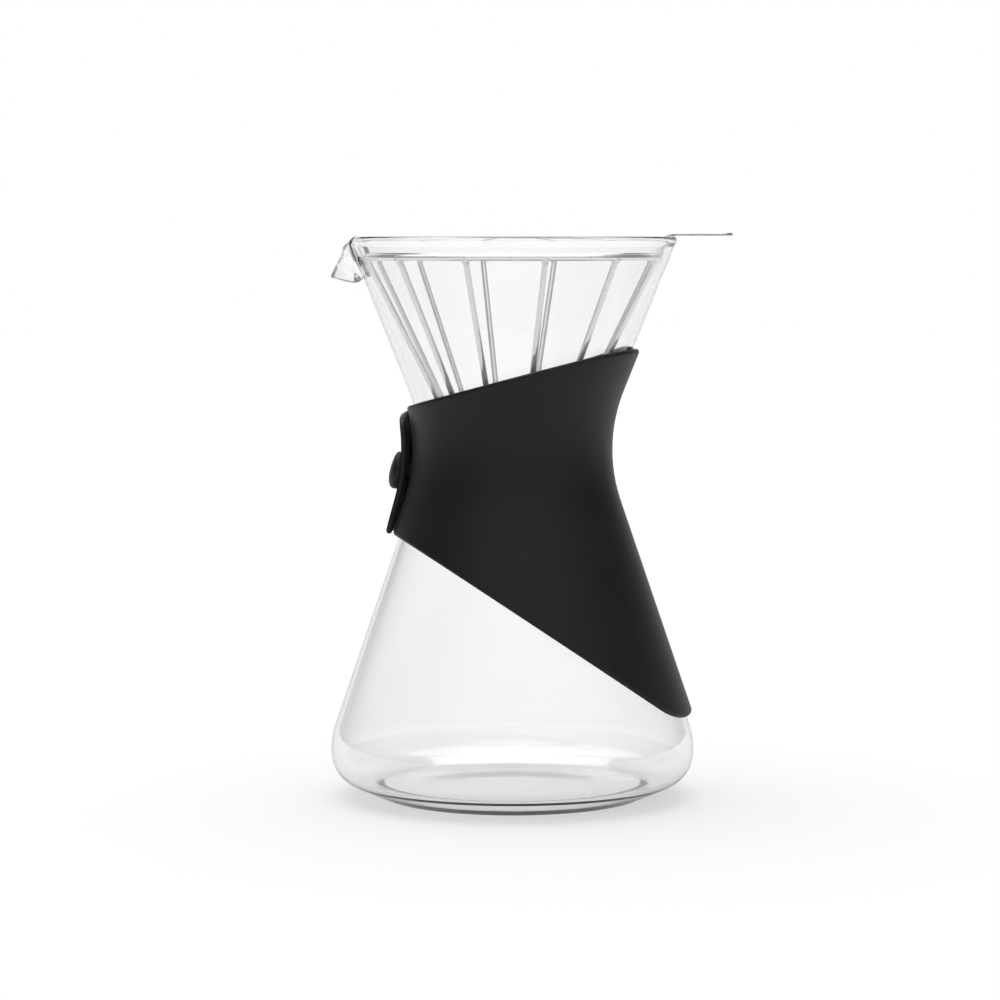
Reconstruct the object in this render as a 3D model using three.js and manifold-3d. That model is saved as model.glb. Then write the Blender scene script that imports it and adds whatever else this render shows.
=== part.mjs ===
// Pour-over coffee maker: a waisted glass carafe with a pulled pouring lip, a lift-out wire
// cone that holds the filter, and a moulded silicone sleeve that buttons round the waist.
// Millimetres, +Z up. The origin is the centre of the base, on the surface it stands on.
// The pouring lip points along -X and the holder's handle along +X.
import * as THREE from 'three';
import { mergeVertices } from 'three/addons/utils/BufferGeometryUtils.js';
import Module from 'manifold-3d';

const wasm = await Module();
wasm.setup();

// Fits shared by all pieces
const FIT_GAP = 0.3;
const ARC_STEP = 14;

// Glass carafe: straight walls that meet at rounded corners
const CARAFE_HEIGHT = 200;
const RIM_RADIUS = 58.5;
const RIM_BEAD = 2.3;
const GLASS_WALL = 1.9;
const WAIST_CORNER_RADIUS = 29.3;
const WAIST_HEIGHT = 126;
const WAIST_ROUND = 59;
const BELLY_RADIUS = 65;
const BELLY_HEIGHT = 21.5;
const BELLY_ROUND = 46;
const HEEL_HEIGHT = 12.8;
const HEEL_ROUND = 13;
const HEEL_SLANT_RADIUS = 61.5;
const HEEL_SLANT_HEIGHT = 6.6;
const FOOT_RADIUS = 46.5;
const FOOT_ROUND = 4;
const BASE_THICKNESS = 3;
const FLOOR_ROUND = 8;

// Pouring lip: the rim is pulled out and folded down into a beak
const LIP_HALF_ANGLE = 28;
const LIP_ROOT = 5;
const LIP_REACH = 6.6;
const LIP_DROP = 14;
const LIP_MOUTH_HALF_WIDTH = 8.6;
const LIP_MOUTH_DROP = 15.6;
const LIP_EDGE = 1.3;
const LIP_FOLD = 1.7;
const LIP_DIP = 0.8;

// Wire filter holder
const RING_DROP = 6.9;
const RING_WIRE = 2.2;
const RIB_WIRE = 2;
const RIB_COUNT = 12;
const RIB_TURN = 12.1;
const BOTTOM_RING_DROP = 16.8;
const BOTTOM_RING_RADIUS = 10;

// Sheet-metal handle of the holder
const HANDLE_SHEET = 1;
const HANDLE_WIDTH = 18;
const HANDLE_OVERHANG = 19.5;
const HANDLE_BEND = 3;
const HANDLE_CORNER = 5;

// Silicone sleeve: a band between two slanting cuts, wrapped round the waist
const SLEEVE_THICKNESS = 2.2;
const SLEEVE_TOP_RISE = 23.4;
const SLEEVE_TOP_SLOPE = 0.26;
const SLEEVE_TOP_TILT = 0.05;
const SLEEVE_TOP_CREST = 34.4;
const SLEEVE_BOTTOM_DROP = 60.3;
const SLEEVE_BOTTOM_SLOPE = 0.66;
const SLEEVE_BOTTOM_ARCH = 0.111;
const SLEEVE_BOTTOM_TIP = 96;
const SLEEVE_TIP_ROUND = 5;
const TONGUE_ANGLE = -103;
const TONGUE_ROUND = 15;
const HINGE_ANGLE = -122;
const HINGE_GAP = 0.4;

// Closing flap of the sleeve, lying over the tongue
const FLAP_THICKNESS = 1.8;
const FLAP_STANDOFF_TOP = 1.9;
const FLAP_STANDOFF_BOTTOM = 1;
const FLAP_END = 9;
const FLAP_END_TOP = 8.7;
const FLAP_END_BOTTOM = 31.6;
const FLAP_CORNER = 4;

// Button that holds the flap on the tongue
const BUTTON_DROP = 9.4;
const BUTTON_RADIUS = 6.7;
const BUTTON_HEAD = 2.9;
const BUTTON_EDGE = 0.9;
const BUTTON_LEAN = 0.12;
const NECK_RADIUS = 2.4;
const PEG_RADIUS = 2.6;
const PEG_DEPTH = 1.5;
const PEG_CLEARANCE = 0.5;
const PEG_SLOT = 0.7;

const radians = THREE.MathUtils.degToRad;
const lerp = THREE.MathUtils.lerp;
const flat = (x, y) => new THREE.Vector2(x, y);
const point = (x, y, z) => new THREE.Vector3(x, y, z);

// Azimuths run from the front (-Y) towards the handle (+X).
const outward = (azimuth) => point(Math.sin(azimuth), -Math.cos(azimuth), 0);
const around = (azimuth, radius, height) => outward(azimuth).multiplyScalar(radius).setZ(height);

// A polyline whose corners are replaced by arcs, each limited by the runs beside it
function roundedProfile(corners) {
  const outline = [];
  corners.forEach(({ at, round }, i) => {
    const before = corners[i - 1]?.at;
    const after = corners[i + 1]?.at;
    if (!round || !before || !after) {
      outline.push(at.clone());
      return;
    }
    const back = before.clone().sub(at);
    const ahead = after.clone().sub(at);
    const room = 0.49 * Math.min(back.length(), ahead.length());
    back.normalize();
    ahead.normalize();
    const half = Math.acos(THREE.MathUtils.clamp(back.dot(ahead), -1, 1)) / 2;
    const radius = Math.min(round, room * Math.tan(half));
    const bisector = back.clone().add(ahead).normalize();
    const centre = at.clone().addScaledVector(bisector, radius / Math.sin(half));
    const start = at.clone().addScaledVector(back, radius / Math.tan(half)).sub(centre);
    const sweep = Math.sign(back.cross(ahead)) * (2 * half - Math.PI);
    const steps = Math.max(2, Math.ceil(Math.abs(sweep) / radians(ARC_STEP)));
    for (let k = 0; k <= steps; k += 1) {
      outline.push(start.clone().rotateAround(flat(0, 0), (sweep * k) / steps).add(centre));
    }
  });
  return outline;
}

// Corners of the same profile moved sideways, with their rounds grown or shrunk to suit
function offsetCorners(corners, distance) {
  const normals = corners.slice(1).map(({ at }, i) => {
    const run = at.clone().sub(corners[i].at).normalize();
    return flat(run.y, -run.x);
  });
  return corners.map(({ at, round }, i) => {
    const before = normals[i - 1] ?? normals[i];
    const after = normals[i] ?? normals[i - 1];
    const mitre = before.clone().add(after).normalize();
    const moved = at.clone().addScaledVector(mitre, distance / mitre.dot(after));
    const turn = Math.sign(before.cross(after));
    return { at: moved, round: round && Math.max(0.5, round + turn * distance) };
  });
}

function radiusAt(profile, height) {
  const i = profile.findIndex((corner, k) => k > 0 && corner.y >= height);
  const upper = i < 1 ? profile.length - 1 : i;
  const [a, b] = [profile[upper - 1], profile[upper]];
  return lerp(a.x, b.x, (height - a.y) / (b.y - a.y));
}

// One closed body from points and triangles, facing out, with collapsed triangles left out
function closedGeometry(points, triangles) {
  const loose = new THREE.BufferGeometry();
  loose.setAttribute('position', new THREE.Float32BufferAttribute(points.flatMap((p) => p.toArray()), 3));
  loose.setIndex(triangles);
  const merged = mergeVertices(loose, 1e-4);
  const index = merged.getIndex().array;
  const kept = [];
  for (let i = 0; i < index.length; i += 3) {
    const [a, b, c] = [index[i], index[i + 1], index[i + 2]];
    if (a !== b && b !== c && c !== a) kept.push(a, b, c);
  }
  const places = merged.getAttribute('position');
  const corner = (i) => new THREE.Vector3().fromBufferAttribute(places, kept[i]);
  let volume = 0;
  for (let i = 0; i < kept.length; i += 3) {
    volume += corner(i).dot(corner(i + 1).cross(corner(i + 2)));
  }
  merged.setIndex(volume < 0 ? kept.reverse() : kept);
  return merged;
}

// A skin through closed loops of equally many points; open lofts are capped between facing points
function loft(loops, wrap = false) {
  const count = loops[0].length;
  const triangles = [];
  const quad = (a, b, c, d) => triangles.push(a, b, c, a, c, d);
  const spans = wrap ? loops.length : loops.length - 1;
  for (let i = 0; i < spans; i += 1) {
    const here = i * count;
    const next = ((i + 1) % loops.length) * count;
    for (let k = 0; k < count; k += 1) {
      const beside = (k + 1) % count;
      quad(here + k, next + k, next + beside, here + beside);
    }
  }
  if (!wrap) {
    const last = (loops.length - 1) * count;
    for (let k = 0; k < count / 2 - 1; k += 1) {
      const facing = count - 1 - k;
      quad(k, k + 1, facing - 1, facing);
      quad(last + k, last + facing, last + facing - 1, last + k + 1);
    }
  }
  return closedGeometry(loops.flat(), triangles);
}

// A sheet of varying thickness: columns of middle points, each with its normal and half thickness
function sheet(columns) {
  return loft(columns.map((column) => {
    const side = (sign) => column.map(({ middle, normal, half }) => (
      middle.clone().addScaledVector(normal, sign * half)
    ));
    return [...side(1), ...side(-1).reverse()];
  }));
}

function toSolid(geometry) {
  const bare = geometry.clone();
  bare.deleteAttribute('normal');
  bare.deleteAttribute('uv');
  const merged = mergeVertices(bare, 1e-4);
  return new wasm.Manifold(new wasm.Mesh({
    numProp: 3,
    vertProperties: new Float32Array(merged.getAttribute('position').array),
    triVerts: new Uint32Array(merged.getIndex().array),
  }));
}

function toGeometry(solid) {
  const mesh = solid.getMesh();
  const geometry = new THREE.BufferGeometry();
  geometry.setAttribute('position', new THREE.BufferAttribute(mesh.vertProperties, 3));
  geometry.setIndex(new THREE.BufferAttribute(mesh.triVerts, 1));
  return geometry;
}

const cut = (geometry, tool) => toGeometry(toSolid(geometry).subtract(toSolid(tool)));
const common = (geometry, other) => toGeometry(toSolid(geometry).intersect(toSolid(other)));

// Glass carafe

const rimCentre = flat(RIM_RADIUS - RIM_BEAD / 2, CARAFE_HEIGHT - RIM_BEAD / 2);
const waistCorner = flat(WAIST_CORNER_RADIUS, WAIST_HEIGHT);
const wallDirection = rimCentre.clone().sub(waistCorner).normalize();
const wallNormal = flat(wallDirection.y, -wallDirection.x);
const bodyCorners = [
  { at: flat(FOOT_RADIUS, 0), round: FOOT_ROUND },
  { at: flat(HEEL_SLANT_RADIUS, HEEL_SLANT_HEIGHT), round: HEEL_ROUND },
  { at: flat(BELLY_RADIUS, HEEL_HEIGHT), round: HEEL_ROUND },
  { at: flat(BELLY_RADIUS, BELLY_HEIGHT), round: BELLY_ROUND },
  { at: waistCorner, round: WAIST_ROUND },
  { at: rimCentre.clone().addScaledVector(wallNormal, GLASS_WALL / 2) },
];
const outerProfile = roundedProfile([{ at: flat(0, 0) }, ...bodyCorners]);

const innerCorners = offsetCorners(bodyCorners, -GLASS_WALL);
const floorEdge = flat(radiusAt(innerCorners.map(({ at }) => at), BASE_THICKNESS), BASE_THICKNESS);
innerCorners[0] = { at: floorEdge, round: FLOOR_ROUND };
const innerProfile = roundedProfile([{ at: flat(0, BASE_THICKNESS) }, ...innerCorners]);

const lipRoot = rimCentre.clone().addScaledVector(wallDirection, -LIP_ROOT);

// Middle of the lip's free edge, from one side to the other: off the rim, down beside the
// wall, then forward along the mouth of the beak to its tip
function lipEdgeCurve() {
  const mouth = CARAFE_HEIGHT - LIP_MOUTH_DROP;
  const height = (share) => lerp(mouth, rimCentre.y, share);
  const clearance = 2 * LIP_FOLD - GLASS_WALL / 2;
  const wallAt = (share) => radiusAt(outerProfile, height(share)) + clearance;
  const tip = RIM_RADIUS + LIP_REACH - RIM_BEAD / 2;
  const reach = (share) => lerp(wallAt(0), tip, share);
  const rimAside = rimCentre.x * Math.sin(radians(LIP_HALF_ANGLE));
  const width = (share) => lerp(LIP_MOUTH_HALF_WIDTH, rimAside, share);
  const half = [
    [reach(0.7), 0.55 * LIP_MOUTH_HALF_WIDTH, height(0.05)],
    [reach(0.32), 0.86 * LIP_MOUTH_HALF_WIDTH, height(0)],
    [wallAt(0.1), width(0.02), height(0.1)],
    [wallAt(0.4), width(0.14), height(0.4)],
    [wallAt(0.74), width(0.34), height(0.74)],
    [rimCentre.x + 1.7 * LIP_FOLD, width(0.58), height(0.91)],
    [rimCentre.x + 0.6 * LIP_FOLD, width(0.76), height(1.01)],
    [rimCentre.x, rimAside, rimCentre.y],
  ].map(([radius, aside, level]) => point(-Math.sqrt(radius ** 2 - aside ** 2), aside, level));
  const mirrored = half.map((p) => point(p.x, -p.y, p.z)).reverse();
  const middle = point(-tip, 0, CARAFE_HEIGHT - LIP_DROP);
  return new THREE.CatmullRomCurve3([...mirrored, middle, ...half], false, 'centripetal');
}

const { smoothstep } = THREE.MathUtils;
const lipShare = (azimuth) => Math.min(1, Math.abs(azimuth) / radians(LIP_HALF_ANGLE));
const lipEdge = lipEdgeCurve();

// Middle line of the lip in one section, run like a string: straight up the wall, over a
// pulley whose top is the crest, then straight to the free edge. Stations crowd on the pulley.
const LIP_STEPS = 10;
function lipLine(azimuth) {
  const share = lipShare(azimuth);
  const radial = point(-Math.cos(azimuth), Math.sin(azimuth), 0);
  const sideways = point(Math.sin(azimuth), Math.cos(azimuth), 0);
  const edge = lipEdge.getPoint((1 + Math.sign(azimuth) * share) / 2);
  const end = share < 1 ? flat(edge.dot(radial), edge.z) : rimCentre;
  const drift = share < 1 ? edge.dot(sideways) : 0;

  const crest = rimCentre.y - LIP_DIP * smoothstep(1 - share, 0.3, 1);
  const rise = (crest - LIP_FOLD * (1 + wallNormal.y) - lipRoot.y) / wallDirection.y;
  const start = lipRoot.clone().addScaledVector(wallDirection, rise);
  const centre = start.clone().addScaledVector(wallNormal, LIP_FOLD);
  const toEnd = end.clone().sub(centre);
  const first = Math.atan2(-wallNormal.y, -wallNormal.x);
  const leave = Math.atan2(toEnd.y, toEnd.x) + Math.acos(Math.min(1, LIP_FOLD / toEnd.length()));
  const last = Math.min(first, leave);
  const arc = Array.from({ length: 13 }, (_, k) => {
    const angle = lerp(first, last, k / 12);
    return flat(Math.cos(angle), Math.sin(angle)).multiplyScalar(LIP_FOLD).add(centre);
  });
  const path = [lipRoot, ...arc, end];
  const crowding = path.map((p, i) => (i === 0 || i === path.length - 1 ? 1 : 4));
  const distance = [0];
  for (let i = 1; i < path.length; i += 1) {
    const weight = Math.min(crowding[i - 1], crowding[i]);
    distance.push(distance[i - 1] + weight * path[i].distanceTo(path[i - 1]));
  }
  const total = distance[path.length - 1];
  return Array.from({ length: LIP_STEPS + 1 }, (_, k) => {
    const along = (total * k) / LIP_STEPS;
    const i = Math.max(1, distance.findIndex((d) => d >= along - 1e-9));
    const part = (along - distance[i - 1]) / Math.max(1e-9, distance[i] - distance[i - 1]);
    const place = path[i - 1].clone().lerp(path[i], part);
    const aside = drift * (k / LIP_STEPS) ** 2;
    return radial.clone().multiplyScalar(place.x).addScaledVector(sideways, aside).setZ(place.y);
  });
}

// One closed section of the glass at an azimuth measured from the lip
function glassSection(azimuth) {
  const radial = point(-Math.cos(azimuth), Math.sin(azimuth), 0);
  const sideways = point(Math.sin(azimuth), Math.cos(azimuth), 0);
  const place = (p) => radial.clone().multiplyScalar(p.x).setZ(p.y);
  const rootHeight = (side) => lipRoot.y + (side * GLASS_WALL * wallNormal.y) / 2;
  const outside = outerProfile.filter((p) => p.y < rootHeight(1)).map(place);
  const inside = innerProfile.filter((p) => p.y < rootHeight(-1)).map(place).reverse();

  const share = lipShare(azimuth);
  const curl = smoothstep(share, 0.42, 0.6);
  const edgeThickness = lerp(RIM_BEAD, LIP_EDGE, smoothstep(1 - share, 0, 0.1));
  const line = lipLine(azimuth);
  const beside = lipLine(azimuth + radians(0.4));
  const stations = line.map((middle, k) => {
    const tangent = line[Math.min(k + 1, LIP_STEPS)].clone().sub(line[Math.max(k - 1, 0)]).normalize();
    const across = beside[k].clone().sub(middle);
    const within = tangent.clone().cross(sideways).normalize();
    const normal = tangent.clone().cross(across).normalize().lerp(within, curl).normalize();
    const half = lerp(GLASS_WALL, edgeThickness, Math.min(1, (2.5 * k) / LIP_STEPS)) / 2;
    return { middle, tangent, normal, half };
  });
  const side = (sign) => stations.map(({ middle, normal, half }) => (
    middle.clone().addScaledVector(normal, sign * half)
  ));
  const end = stations[LIP_STEPS];
  const cap = [45, 90, 135].map((angle) => end.middle.clone()
    .addScaledVector(end.normal, end.half * Math.cos(radians(angle)))
    .addScaledVector(end.tangent, end.half * Math.sin(radians(angle))));
  return [...outside, ...side(1), ...cap, ...side(-1).reverse(), ...inside];
}

function glassCarafe() {
  const lipStep = 2;
  const wallStep = 10;
  const lipSpan = LIP_HALF_ANGLE + lipStep;
  const azimuths = [];
  const lipCount = Math.round((2 * lipSpan) / lipStep);
  for (let i = 0; i < lipCount; i += 1) azimuths.push(-lipSpan + (2 * lipSpan * i) / lipCount);
  const wallCount = Math.round((360 - 2 * lipSpan) / wallStep);
  for (let i = 0; i < wallCount; i += 1) {
    azimuths.push(lipSpan + ((360 - 2 * lipSpan) * i) / wallCount);
  }
  const wrapped = (angle) => (angle > 180 ? angle - 360 : angle);
  return loft(azimuths.map((angle) => glassSection(radians(wrapped(angle)))), true);
}

// Wire filter holder

const ringHeight = CARAFE_HEIGHT - RING_DROP;
const seatGap = FIT_GAP / wallDirection.y;
const ringRadius = radiusAt(innerProfile, ringHeight)
  - seatGap - RING_WIRE / 2 / wallDirection.y;
const bottomRingHeight = WAIST_HEIGHT - BOTTOM_RING_DROP;

function wireRing(radius, wire, height, steps) {
  const ring = new THREE.TorusGeometry(radius, wire / 2, 8, steps);
  ring.translate(0, 0, height);
  return ring;
}

// A straight rib between the two rings, ending just short of each
function holderRib(k) {
  const azimuth = radians(RIB_TURN + (360 / RIB_COUNT) * k);
  const top = around(azimuth, ringRadius, ringHeight);
  const bottom = around(azimuth, BOTTOM_RING_RADIUS, bottomRingHeight);
  const run = top.clone().sub(bottom).normalize();
  const shortening = RING_WIRE / 2 + FIT_GAP;
  top.addScaledVector(run, -shortening);
  bottom.addScaledVector(run, shortening);
  const rib = new THREE.CylinderGeometry(RIB_WIRE / 2, RIB_WIRE / 2, top.distanceTo(bottom), 10);
  const turn = new THREE.Quaternion().setFromUnitVectors(point(0, 1, 0), run);
  rib.applyQuaternion(turn);
  rib.translate(...top.add(bottom).divideScalar(2).toArray());
  return rib;
}

// Bent strip: up from the ring inside the rim, over the bead and straight out
function holderHandle() {
  const half = HANDLE_SHEET / 2;
  const flatHeight = CARAFE_HEIGHT + FIT_GAP + half;
  const footHeight = ringHeight + RING_WIRE / 2 + FIT_GAP;
  const end = RIM_RADIUS + HANDLE_OVERHANG;
  const rimInside = rimCentre.x - RIM_BEAD / 2 - FIT_GAP - half;
  const strip = roundedProfile([
    { at: flat(ringRadius, footHeight) },
    { at: flat(ringRadius + 0.4, lerp(footHeight, flatHeight, 0.45)), round: HANDLE_BEND },
    { at: flat(rimInside, flatHeight), round: HANDLE_BEND },
    { at: flat(end, flatHeight) },
  ]);
  const normals = strip.map((p, i) => {
    const ahead = strip[Math.min(i + 1, strip.length - 1)];
    const behind = strip[Math.max(i - 1, 0)];
    const run = ahead.clone().sub(behind).normalize();
    return flat(-run.y, run.x);
  });
  const edge = (sign) => strip.map((p, i) => p.clone().addScaledVector(normals[i], sign * half));
  const sideView = new THREE.Shape([...edge(1), ...edge(-1).reverse()]);
  const bent = new THREE.ExtrudeGeometry(sideView, { depth: HANDLE_WIDTH, bevelEnabled: false });
  bent.rotateX(Math.PI / 2);
  bent.translate(0, HANDLE_WIDTH / 2, 0);

  const inner = ringRadius - HANDLE_SHEET;
  const plan = roundedProfile([
    { at: flat(inner, -HANDLE_WIDTH) },
    { at: flat(end, -HANDLE_WIDTH / 2), round: HANDLE_CORNER },
    { at: flat(end, HANDLE_WIDTH / 2), round: HANDLE_CORNER },
    { at: flat(inner, HANDLE_WIDTH) },
  ]);
  const rounding = new THREE.ExtrudeGeometry(new THREE.Shape(plan), {
    depth: CARAFE_HEIGHT, bevelEnabled: false,
  });
  rounding.translate(0, 0, ringHeight);
  return common(bent, rounding);
}

// Silicone sleeve

const sleeveMiddle = roundedProfile(offsetCorners(bodyCorners, FIT_GAP + SLEEVE_THICKNESS / 2));
const sleeveOutside = roundedProfile(offsetCorners(bodyCorners, FIT_GAP + SLEEVE_THICKNESS));

// Smooth lesser and greater of two heights
const softMin = (a, b, round) => {
  const blend = THREE.MathUtils.clamp(0.5 + (b - a) / (2 * round), 0, 1);
  return lerp(b, a, blend) - round * blend * (1 - blend);
};
const softMax = (a, b, round) => -softMin(-a, -b, round);

// Heights of the two slanting cuts over a point of the plan
function sleeveTop(x, y) {
  const slant = WAIST_HEIGHT + SLEEVE_TOP_RISE + SLEEVE_TOP_SLOPE * x - SLEEVE_TOP_TILT * y;
  return softMin(slant, WAIST_HEIGHT + SLEEVE_TOP_CREST, 2);
}
function sleeveBottom(x, y) {
  const arch = SLEEVE_BOTTOM_ARCH * Math.abs(y);
  const slant = WAIST_HEIGHT - SLEEVE_BOTTOM_DROP - SLEEVE_BOTTOM_SLOPE * x + arch;
  return softMax(slant, WAIST_HEIGHT - SLEEVE_BOTTOM_TIP, SLEEVE_TIP_ROUND);
}

// Where a cut meets the sleeve's middle surface at an azimuth
function cutHeight(azimuth, cutAt) {
  let height = WAIST_HEIGHT;
  for (let i = 0; i < 40; i += 1) {
    const place = around(azimuth, radiusAt(sleeveMiddle, height), height);
    height = lerp(height, cutAt(place.x, place.y), 0.5);
  }
  return height;
}

// Shares along a column of the sheet, close together at its two rounded edges
function edgeShares(height, thickness, steps) {
  const edge = Math.min(0.5 * thickness / height, 0.2);
  const inner = Array.from({ length: steps + 1 }, (_, k) => lerp(edge, 1 - edge, k / steps));
  return [0, 0.3 * edge, ...inner, 1 - 0.3 * edge, 1];
}
// Half thickness that falls away in a round towards an edge at a given distance
function roundedHalf(distance, thickness) {
  const half = thickness / 2;
  const reach = THREE.MathUtils.clamp(1 - distance / half, 0, 1);
  return half * Math.max(0.25, Math.sqrt(1 - reach ** 2));
}
// Height lost to a rounded corner at a distance from the end of the sheet
const cornerLoss = (distance, round) => (
  distance >= round ? 0 : round - Math.sqrt(round ** 2 - (round - distance) ** 2)
);

function sleeveColumn(azimuth, endDistance) {
  const middleAt = (height) => around(azimuth, radiusAt(sleeveMiddle, height), height);
  const loss = cornerLoss(endDistance, TONGUE_ROUND);
  const top = cutHeight(azimuth, sleeveTop) - loss;
  const bottom = cutHeight(azimuth, sleeveBottom) + loss;
  return edgeShares(top - bottom, SLEEVE_THICKNESS, 9).map((share) => {
    const height = lerp(bottom, top, share);
    const middle = middleAt(height);
    const slope = middleAt(height + 0.5).sub(middleAt(height - 0.5));
    const normal = point(-Math.cos(azimuth), -Math.sin(azimuth), 0).cross(slope).normalize();
    const edge = Math.min(height - bottom, top - height);
    const half = Math.min(
      roundedHalf(edge, SLEEVE_THICKNESS),
      roundedHalf(endDistance, SLEEVE_THICKNESS),
    );
    return { middle, normal, half };
  });
}

function sleeveWrap() {
  const waist = radiusAt(sleeveMiddle, WAIST_HEIGHT);
  const perDegree = radians(waist);
  const wrapEnd = 360 + HINGE_ANGLE - HINGE_GAP / 2 / perDegree;
  const turn = wrapEnd - TONGUE_ANGLE;
  const nearEnd = [0, 0.3, 1.1, 2.5, 5, 8, 11].map((distance) => distance / perDegree);
  const steps = 42;
  const along = Array.from({ length: steps }, (_, k) => (
    lerp(TONGUE_ROUND / perDegree, turn, k / (steps - 1))
  ));
  const band = sheet([...nearEnd, ...along].map((angle) => (
    sleeveColumn(radians(TONGUE_ANGLE + angle), angle * perDegree)
  )));
  return cut(band, pegHole());
}

// Closing flap

const flapMiddle = (height) => {
  const span = FLAP_END_TOP + FLAP_END_BOTTOM;
  const share = (height - (WAIST_HEIGHT - FLAP_END_BOTTOM)) / span;
  const standoff = lerp(FLAP_STANDOFF_BOTTOM, FLAP_STANDOFF_TOP, share);
  return radiusAt(sleeveOutside, height) + standoff + FLAP_THICKNESS / 2;
};

// Plan of the flap at one height: off the hinge, up over the tongue, then straight to its end
function flapPlan(height) {
  const start = radiusAt(sleeveMiddle, height);
  const end = flapMiddle(height);
  const perDegree = radians(start);
  const hinge = HINGE_ANGLE + HINGE_GAP / 2 / perDegree;
  const ramp = [0, 0.25, 0.62, 1].map((share, i) => {
    const angle = lerp(hinge, TONGUE_ANGLE + 1, i / 3);
    return around(radians(angle), lerp(start, end, share), height);
  });
  const tangent = [point(-end, 0, height), point(-end, -FLAP_END / 2, height), point(-end, -FLAP_END, height)];
  return new THREE.CatmullRomCurve3([...ramp, ...tangent], false, 'centripetal');
}

function flapColumn(share) {
  const reference = flapPlan(WAIST_HEIGHT);
  const endDistance = (1 - share) * reference.getLength();
  const hinge = radians(HINGE_ANGLE);
  const loss = cornerLoss(endDistance, FLAP_CORNER);
  const top = lerp(cutHeight(hinge, sleeveTop), WAIST_HEIGHT + FLAP_END_TOP, share) - loss;
  const risen = smoothstep(share, 0, 0.5);
  const bottom = lerp(cutHeight(hinge, sleeveBottom), WAIST_HEIGHT - FLAP_END_BOTTOM, risen) + loss;
  return edgeShares(top - bottom, FLAP_THICKNESS, 8).map((part) => {
    const height = lerp(bottom, top, part);
    const plan = flapPlan(height);
    const middle = plan.getPoint(share);
    const slope = flapPlan(height + 0.5).getPoint(share).sub(flapPlan(height - 0.5).getPoint(share));
    const normal = plan.getTangent(share).cross(slope).normalize().negate();
    const edge = Math.min(height - bottom, top - height, endDistance);
    return { middle, normal, half: roundedHalf(edge, FLAP_THICKNESS) };
  });
}

function sleeveFlap() {
  const body = [0, 0.1, 0.2, 0.3, 0.4, 0.5, 0.6, 0.7, 0.78, 0.86];
  const end = [0.91, 0.95, 0.975, 0.992, 1];
  return cut(sheet([...body, ...end].map(flapColumn)), neckHole());
}

// Button

const buttonHeight = WAIST_HEIGHT - BUTTON_DROP;
const buttonCentre = point(-flapMiddle(buttonHeight), 0, buttonHeight);
const buttonSlope = (flapMiddle(buttonHeight + 1) - flapMiddle(buttonHeight - 1)) / 2;
const buttonAxis = point(-1, 0, -buttonSlope).normalize();

// Places a shape made round +Y on the button's axis, outwards along +Y
function onButtonAxis(geometry) {
  const tall = point(0, 0, 1).addScaledVector(buttonAxis, -buttonAxis.z).normalize();
  const basis = new THREE.Matrix4().makeBasis(buttonAxis.clone().cross(tall), buttonAxis, tall);
  geometry.applyMatrix4(basis);
  geometry.translate(...buttonCentre.toArray());
  return geometry;
}

function buttonHole(radius, slot) {
  const hole = new THREE.CylinderGeometry(radius, radius, 6 * SLEEVE_THICKNESS, 20);
  hole.scale(1 + slot / radius, 1, 1);
  return onButtonAxis(hole);
}
const pegHole = () => buttonHole(PEG_RADIUS + PEG_CLEARANCE, PEG_SLOT);
const neckHole = () => buttonHole(NECK_RADIUS + FIT_GAP, 0);

function closureButton() {
  const seat = FLAP_THICKNESS / 2 + 2 * FIT_GAP;
  const standoff = flapMiddle(buttonHeight) - radiusAt(sleeveOutside, buttonHeight);
  const pegTip = -(standoff + PEG_DEPTH);
  const dome = (share) => flat(
    BUTTON_RADIUS * Math.cos(share * Math.PI / 2),
    seat + BUTTON_EDGE + (BUTTON_HEAD - BUTTON_EDGE) * Math.sin(share * Math.PI / 2),
  );
  const outline = [
    flat(0, pegTip),
    flat(PEG_RADIUS - 0.6, pegTip),
    flat(PEG_RADIUS, pegTip + 0.6),
    flat(PEG_RADIUS, pegTip + PEG_DEPTH),
    flat(NECK_RADIUS, pegTip + PEG_DEPTH + 0.5),
    flat(NECK_RADIUS, seat),
    flat(BUTTON_RADIUS - 0.4, seat),
    flat(BUTTON_RADIUS, seat + 0.4),
    ...[0, 0.2, 0.4, 0.6, 0.8].map(dome),
    flat(0, seat + BUTTON_HEAD),
  ];
  const button = new THREE.LatheGeometry(outline, 24);
  const places = button.getAttribute('position');
  for (let i = 0; i < places.count; i += 1) {
    const [along, tall] = [places.getY(i), places.getZ(i)];
    if (along >= seat && places.getX(i) ** 2 + tall ** 2 > NECK_RADIUS ** 2 + 0.1) {
      const saddle = tall ** 2 / (2 * WAIST_ROUND);
      places.setY(i, along + saddle - ((along - seat) / BUTTON_HEAD) * BUTTON_LEAN * tall);
    }
  }
  return onButtonAxis(button);
}

// Assembly

const finishes = {
  glass: { color: 0xf2f5f4, roughness: 0.03, metalness: 0, transparent: true, opacity: 0.35 },
  steel: { color: 0xc9cbcc, roughness: 0.2, metalness: 1 },
  silicone: { color: 0x262628, roughness: 0.55, metalness: 0 },
  button: { color: 0x1c1c1e, roughness: 0.5, metalness: 0 },
};

function piece(name, geometry, finish) {
  geometry.computeVertexNormals();
  const mesh = new THREE.Mesh(geometry, new THREE.MeshStandardMaterial(finishes[finish]));
  mesh.name = name;
  return mesh;
}

const holder = new THREE.Group();
holder.add(piece('holder_top_ring', wireRing(ringRadius, RING_WIRE, ringHeight, 56), 'steel'));
for (let k = 0; k < RIB_COUNT; k += 1) {
  holder.add(piece(`holder_rib_${String(k + 1).padStart(2, '0')}`, holderRib(k), 'steel'));
}
holder.add(piece('holder_bottom_ring', wireRing(BOTTOM_RING_RADIUS, RING_WIRE, bottomRingHeight, 32), 'steel'));
holder.add(piece('holder_handle', holderHandle(), 'steel'));

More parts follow.
